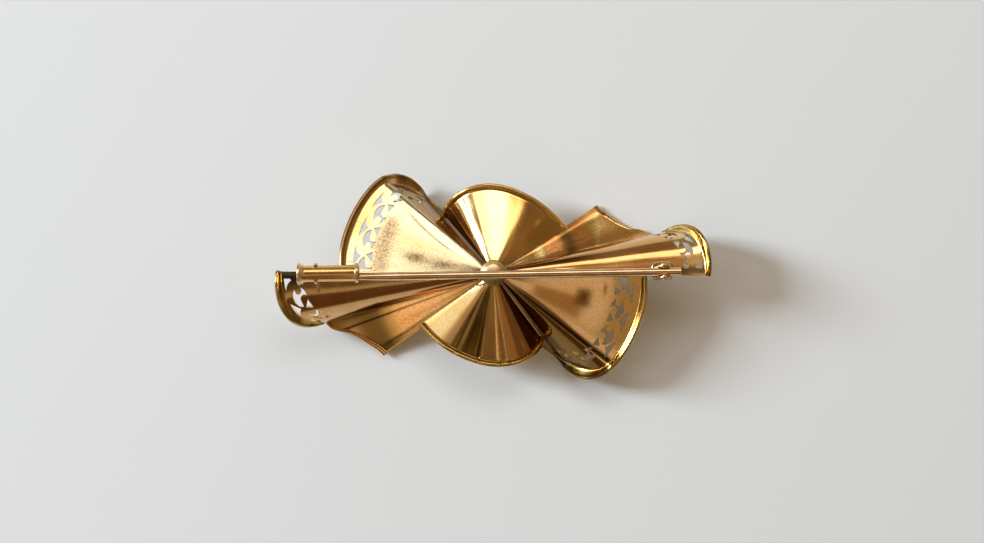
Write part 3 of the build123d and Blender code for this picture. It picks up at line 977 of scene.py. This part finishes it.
# Tube catch
end_x = mouth_x - tube_length
knob_x = end_x - knob_length
ring_x = mouth_x - ring_length
tube_profile = rounded([
    (end_x + tube_floor, on_axis), (end_x + tube_floor, tube_bore), (mouth_x - 0.02, tube_bore),
    (mouth_x, mouth_bore), (mouth_x, ring_radius), (ring_x, ring_radius), (ring_x, tube_radius),
    (end_x, tube_radius), (knob_x + 0.5, 1.38), (knob_x + 0.4, knob_radius), (knob_x, knob_radius),
    (knob_x, 1.1), (knob_x + 0.12, 0.9), (knob_x + 0.12, on_axis)], 0.14)


def tube_tint(x, y, z):
    """The flanges are paler than the tube."""
    out = math.hypot(y - tube_side, z - pin_height)
    return blended((0.98, 0.70, 0.42, 0.2), [(between(out, 1.24, 9.0, 0.02), (1.0, 0.92, 0.80, 0.6))])


tube = lathe("catch_tube", tube_profile, (0, tube_side, pin_height), (1, 0, 0), 64)
paint_points(tube, tube_tint)
add(tube, "slide", [tube_gold], "fitting_gold", "catch_slide")


# Saddle that the tube slides in: an open ring on a leg
def circle_points(radius, start, sweep, count):
    angles = [start + sweep * k / count for k in range(count + 1)]
    return [(radius * math.cos(angle), radius * math.sin(angle)) for angle in angles]


top = math.pi / 2
leg_turn = math.asin(saddle_leg / saddle_radius)
side_turn = math.pi - saddle_opening - leg_turn
bore_turn = 2 * math.pi - 2 * saddle_opening
saddle_foot = [(saddle_leg, -2.55), (-2.3, -2.86), (-2.32, -2.6), (-0.55, -2.3), (-saddle_leg, -2.1)]
saddle_outline = (circle_points(saddle_radius, top - saddle_opening, -side_turn, 24) + saddle_foot
                  + circle_points(saddle_radius, -top - leg_turn, -side_turn, 24)
                  + circle_points(saddle_bore, top + saddle_opening, bore_turn, 48))
saddle = plate("catch_saddle", saddle_outline, fitting_plate, (saddle_x, tube_side, pin_height),
               (0, 1, 0), (0, 0, 1))
add(saddle, "bow", [shaded_plate_gold], "fitting_gold")


# Hinge: two ears on a plate, and the rivet through them
def ear_outline(plate_top):
    crown = [(x, pin_height + y) for x, y in circle_points(ear_crown, 0.0, math.pi, 20)]
    foot = plate_top + ear_crown
    side = [(ear_crown, foot + 0.25), (0.95, foot + 0.02),
            (ear_foot, foot - 0.15), (ear_foot, plate_top - 0.05)]
    return crown + [(-x, y) for x, y in side] + side[::-1]


def plate_half(half, value):
    """Half a size of the hinge plate, rounded like a rectangle with soft corners."""
    return half * value * abs(value) ** -hinge_squareness


plate_outline = []
for turn in range(5, 360, 10):
    angle = math.radians(turn)
    plate_outline.append((plate_half(hinge_half_length, math.cos(angle)),
                          plate_half(hinge_half_width, math.sin(angle))))
plate_middle = (pivot_x, hinge_plate_side, hinge_seat + fitting_plate / 2)
base = plate("hinge_plate", plate_outline, fitting_plate, plate_middle, (1, 0, 0), (0, 1, 0), 0.16)
ears = []
for side in (-ear_offset, ear_offset):
    ears.append(plate("ear", ear_outline(hinge_seat + fitting_plate), ear_thickness,
                      (pivot_x, pin_side + side, 0), (1, 0, 0), (0, 0, 1), 0.08))
add(join("hinge_bracket", [base] + ears), "bow", [shaded_plate_gold], "fitting_gold")

rivet_side = [
    (rivet_half_length, on_axis), (rivet_half_length, rivet_radius), (rivet_head_end, rivet_head_radius),
    (rivet_head_start, rivet_head_radius), (rivet_head_start, rivet_radius)]
rivet_profile = rounded([(-x, radius) for x, radius in rivet_side] + rivet_side[::-1], 0.1)
rivet = lathe("hinge_pin", rivet_profile, (pivot_x, pin_side, pin_height), (0, 1, 0), 32)
add(rivet, "bow", [fitting_gold], "fitting_gold", "hinge_rivet")

# Centre rivet: back boss, post and plain front knot
knot_turns = [math.pi / 2 * k / 16 for k in range(17)]
dome_turns = [math.pi / 2 * k / 12 for k in range(13)]
boss_top = boss_seat + boss_thickness
centre_profile = [(knot_bottom + (knot_middle - knot_bottom) * (1 - math.cos(angle)),
                   knot_radius * math.sin(angle) + on_axis) for angle in knot_turns]
centre_profile += rounded([
    (knot_middle, knot_radius), (knot_top, post_radius), (boss_seat, post_radius), (boss_seat, boss_radius),
    (boss_seat + boss_edge, boss_radius), (boss_top, dome_radius)], 0.06)[1:]
centre_profile += [(boss_top + dome_height * math.sin(angle), dome_radius * math.cos(angle) + on_axis)
                   for angle in dome_turns]


def centre_tint(x, y, z):
    """Painted light on the boss: pale towards the upper left, where the light comes from, with painted
    shade to the right and below, and darker and rougher round its seat.
    """
    return blended((1.0, 0.93, 0.74, 0.3), [
        # Painted shade on the right and lower sides
        (between(x, 0.5, 9.0, 0.15), (0.62, 0.42, 0.24, 0.5)),
        (between(y, -9.0, -0.9, 0.1), (0.42, 0.36, 0.20, 0.5)),
        (between(math.hypot(x, y), 1.46, 9.0, 0.03), (0.50, 0.38, 0.20, 0.5)),
    ])


centre = lathe("centre_knot", centre_profile, (0, 0, 0), (0, 0, 1), 72)
paint_points(centre, centre_tint)
add(centre, "bow", [knot_gold], "fitting_gold", "centre_rivet")


# Camera, light and floor
def look_matrix():
    forward = Vector((0.0, math.sin(camera_tilt), -math.cos(camera_tilt)))
    right = Vector((1.0, 0.0, 0.0))
    up = right.cross(forward)
    rolled_right = right * math.cos(camera_roll) - up * math.sin(camera_roll)
    rolled_up = up * math.cos(camera_roll) + right * math.sin(camera_roll)
    place = (camera_focus - forward * camera_distance) * MM
    turn = Matrix((rolled_right, rolled_up, -forward)).transposed()
    return Matrix.Translation(place) @ turn.to_4x4()


def soft_light(name, place, radiance, size, colour, level=True):
    """A rectangular soft light, level or facing the brooch, as bright as a mirror shows it."""
    light = bpy.data.lights.new(name, "AREA")
    light.energy = radiance * math.pi * size[0] * size[1]
    light.shape = "RECTANGLE"
    light.size = size[0]
    light.size_y = size[1]
    light.color = colour
    lamp = bpy.data.objects.new(name, light)
    lamp.location = place
    if not level:
        lamp.rotation_euler = (-Vector(place)).to_track_quat("-Z", "Y").to_euler()
    bpy.context.scene.collection.objects.link(lamp)


view = bpy.data.cameras.new("photo_view")
view.sensor_width = sensor_width
view.lens = focal_pixels / image_width * sensor_width
view.shift_x = -right_by_pixels / image_width
view.shift_y = down_by_pixels / image_width
view.clip_start = 0.01
camera = bpy.data.objects.new("photo_view", view)
camera.matrix_world = look_matrix()
bpy.context.scene.collection.objects.link(camera)
bpy.context.scene.camera = camera
bpy.context.scene.view_settings.view_transform = "Standard"

soft_light("window", (0.12, 0.74, 1.0), 2.3, (0.86, 0.46), (1.0, 0.97, 0.90))
soft_light("window_side", (-0.62, 0.64, 1.0), 1.9, (0.62, 0.20), (1.0, 0.97, 0.90))
soft_light("window_sill", (0.69, 0.60, 1.0), 2.0, (0.28, 0.18), (1.0, 0.95, 0.84))
soft_light("side_light", (-1.02, 0.27, 0.60), 33.0, (0.27, 0.50), (0.84, 0.93, 1.0), False)
soft_light("left_door", (-1.40, -0.16, 1.0), 1.4, (0.80, 0.32), (1.0, 0.93, 0.80))

world = bpy.context.scene.world or bpy.data.worlds.new("room")
bpy.context.scene.world = world
world.use_nodes = True
sky_nodes = world.node_tree.nodes
sky_links = world.node_tree.links
sky_place = sky_nodes.new("ShaderNodeTexCoord")
sky_axes = sky_nodes.new("ShaderNodeSeparateXYZ")
sky_links.new(sky_place.outputs["Generated"], sky_axes.inputs[0])


def sky_math(operation, first, second):
    node = sky_nodes.new("ShaderNodeMath")
    node.operation = operation
    for socket, value in zip(node.inputs, (first, second)):
        if isinstance(value, float):
            socket.default_value = value
        else:
            sky_links.new(value, socket)
    return node.outputs[0]


def sky_step(value, start, end):
    node = sky_nodes.new("ShaderNodeMapRange")
    node.interpolation_type = "SMOOTHSTEP"
    node.inputs["From Min"].default_value = start
    node.inputs["From Max"].default_value = end
    sky_links.new(value, node.inputs["Value"])
    return node.outputs["Result"]


sky_height = sky_math("MAXIMUM", sky_axes.outputs["Z"], 0.02)
sky_x = sky_math("DIVIDE", sky_axes.outputs["X"], sky_height)
sky_y = sky_math("DIVIDE", sky_axes.outputs["Y"], sky_height)


def sky_patch(under, low, high, soft, colour):
    """A soft-edged part of the ceiling in another colour, between two corners at a height of one."""
    mask = sky_step(sky_x, low[0] - soft, low[0] + soft)
    mask = sky_math("MULTIPLY", mask, sky_step(sky_x, high[0] + soft, high[0] - soft))
    mask = sky_math("MULTIPLY", mask, sky_step(sky_y, low[1] - soft, low[1] + soft))
    mask = sky_math("MULTIPLY", mask, sky_step(sky_y, high[1] + soft, high[1] - soft))
    mix = sky_nodes.new("ShaderNodeMix")
    mix.data_type = "RGBA"
    mix.inputs["B"].default_value = (*colour, 1)
    sky_links.new(mask, mix.inputs["Factor"])
    if isinstance(under, tuple):
        mix.inputs["A"].default_value = (*under, 1)
    else:
        sky_links.new(under, mix.inputs["A"])
    return mix.outputs["Result"]


# The room that the sheets mirror: dark below, tan and peach patches, a dark zenith and an orange patch
room = sky_patch((0.26, 0.20, 0.13), (-9.0, -9.0), (9.0, -0.47), 0.03, (0.13, 0.085, 0.04))
room = sky_patch(room, (-1.0, -0.465), (1.2, -0.24), 0.02, (0.60, 0.44, 0.30))
room = sky_patch(room, (-0.80, -0.425), (-0.28, -0.32), 0.03, (0.13, 0.085, 0.04))
room = sky_patch(room, (-0.72, -1.8), (-0.38, -0.435), 0.02, (1.05, 0.74, 0.48))
room = sky_patch(room, (-0.45, -0.24), (0.30, 0.28), 0.06, (0.11, 0.075, 0.035))
room = sky_patch(room, (0.0, 0.25), (1.5, 0.50), 0.06, (0.38, 0.25, 0.13))
sky_links.new(room, sky_nodes["Background"].inputs["Color"])

floor_half = 2000.0
floor_corners = [(-floor_half, -floor_half, 0.0), (floor_half, -floor_half, 0.0),
                 (floor_half, floor_half, 0.0), (-floor_half, floor_half, 0.0)]
floor = new_object("floor", floor_corners, [(0, 1, 2, 3)])
floor_paint = bpy.data.materials.new("pale_floor")
floor_paint.use_nodes = True
floor_shader = floor_paint.node_tree.nodes["Principled BSDF"]
floor_shader.inputs["Base Color"].default_value = (0.88, 0.925, 0.98, 1)
floor_shader.inputs["Roughness"].default_value = 0.35
floor.data.materials.append(floor_paint)
